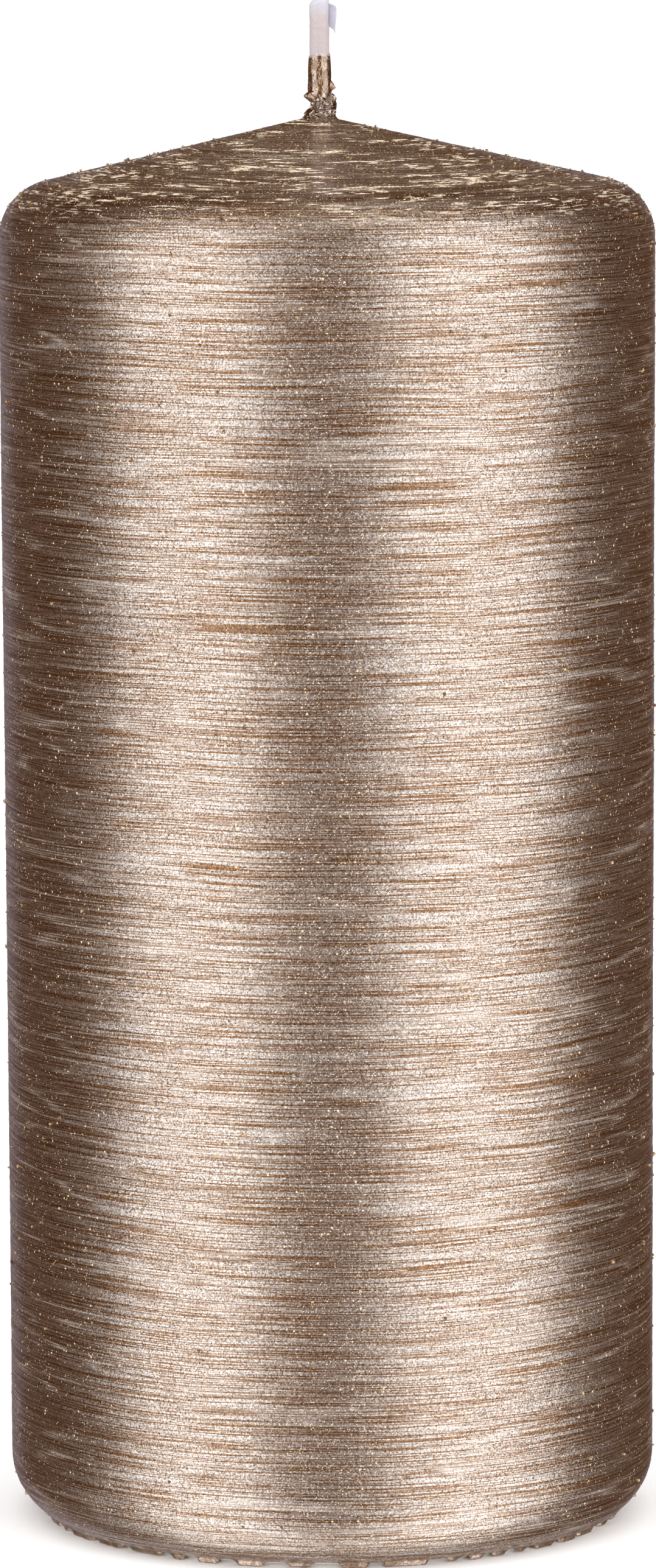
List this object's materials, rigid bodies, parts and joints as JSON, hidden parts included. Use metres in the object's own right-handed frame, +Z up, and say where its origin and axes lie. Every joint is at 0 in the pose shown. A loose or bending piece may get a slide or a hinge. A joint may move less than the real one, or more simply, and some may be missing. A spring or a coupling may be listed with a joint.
{
  "type": "unity candle",
  "caption": "Pillar candle with a brushed metallic lacquer skin, a low conical top, rounded shoulder and foot, and a short wax-coated wick.",
  "frame": {"origin": "centre of the base, on the surface that the candle stands on", "axes": "+Z up along the candle's axis, towards the wick; -Y is the front"},
  "size_m": [0.0696, 0.0696, 0.1625],
  "materials": {
    "core_wax": "matte granular paraffin wax",
    "overdip_wax": "satin hard wax",
    "metallic_lacquer": "brushed champagne-bronze metallic lacquer with fine flake",
    "pooled_lacquer": "smooth pooled bronze lacquer",
    "cotton": "plaited cotton",
    "wick_wax": "translucent white wax",
    "wick_lacquer": "glossy dark bronze lacquer",
    "tinned_steel": "pressed tinned steel"
  },
  "bodies": {
    "root": {"wax_core": "core_wax", "overdip_shell": "overdip_wax", "lacquer_coat": "metallic_lacquer", "rim_drips": "pooled_lacquer", "wick_braid": "cotton", "wick_wax_coat": "wick_wax", "wick_wax_flap": "wick_wax", "wick_lacquer_sleeve": "wick_lacquer", "wick_lacquer_nubs": "wick_lacquer", "lacquer_collar": "wick_lacquer", "wick_sustainer": "tinned_steel"}
  },
  "joints": []
}
